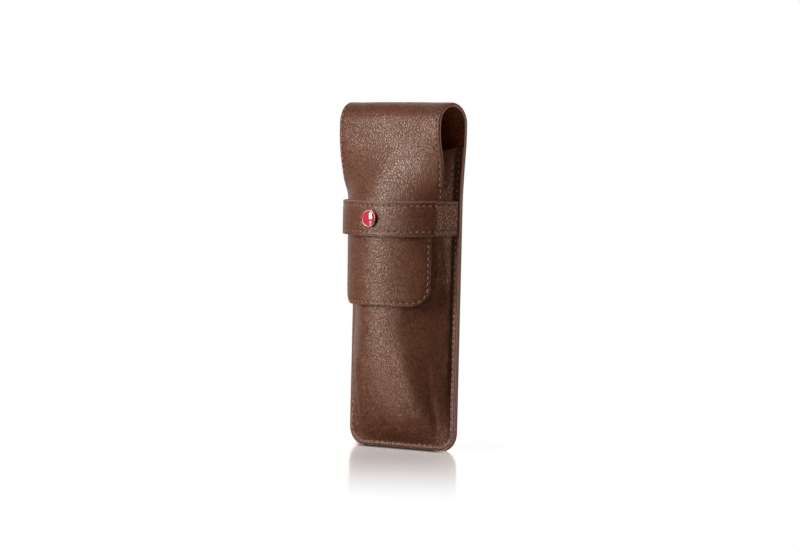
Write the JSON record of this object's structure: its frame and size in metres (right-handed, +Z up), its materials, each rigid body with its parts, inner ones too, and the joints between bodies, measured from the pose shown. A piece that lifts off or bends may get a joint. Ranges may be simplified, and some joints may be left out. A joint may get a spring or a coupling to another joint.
{
  "type": "double pen case",
  "caption": "Upright leather pen case: moulded pouch on a flat stiffened back, divider inside, tongue flap arching over the mouth and tucked under a strap with a round stud.",
  "frame": {"origin": "centre of the bounding box's base, under the case standing upright", "axes": "+Z up from the closed bottom to the top of the flap, +X across the case, -Y out of the front with the stud, +Y out of the flat back"},
  "size_m": [0.0628, 0.0344, 0.1606],
  "materials": {
    "brown_grain_leather": "fine pebbled grain, satin",
    "lining_leather": "smooth matt lining leather",
    "stiffening_board": "bonded fibre board, matt",
    "sewing_thread": "twisted polyester thread",
    "polished_metal": "polished plating",
    "red_enamel": "gloss enamel"
  },
  "bodies": {
    "case": {"back_panel": "brown_grain_leather", "back_stiffener": "stiffening_board", "back_lining": "lining_leather", "pouch_front": "brown_grain_leather", "pouch_lining": "lining_leather", "pen_divider": "lining_leather", "strap": "brown_grain_leather", "strap_lining": "lining_leather", "stud_cap": "polished_metal", "stud_enamel": "red_enamel", "stud_washer": "polished_metal", "strap_upper_thread": "sewing_thread", "strap_lower_thread": "sewing_thread", "body_seam_thread": "sewing_thread"},
    "flap_arch": {"flap_arch_leather": "brown_grain_leather", "flap_arch_lining": "lining_leather", "flap_arch_thread_left": "sewing_thread", "flap_arch_thread_right": "sewing_thread"},
    "flap": {"flap_front": "brown_grain_leather", "flap_front_lining": "lining_leather", "flap_front_thread_left": "sewing_thread", "flap_front_thread_right": "sewing_thread", "flap_tongue": "brown_grain_leather", "flap_tongue_lining": "lining_leather", "flap_tongue_thread": "sewing_thread"}
  },
  "joints": [
    {"name": "flap_fold", "type": "hinge", "parent": "case", "child": "flap_arch", "pos_m": [0, 0.0166, 0.146], "axis": [-1, 0, 0], "range_deg": [0, 90]},
    {"name": "flap_unroll", "type": "hinge", "parent": "flap_arch", "child": "flap", "pos_m": [0, -0.0035, 0.146], "axis": [-1, 0, 0], "range_deg": [0, 90], "deforming": ["flap_tongue", "flap_tongue_lining", "flap_tongue_thread"]}
  ],
  "couplings": [
    {"joint": "flap_unroll", "follows": "flap_fold", "ratio": 1}
  ]
}
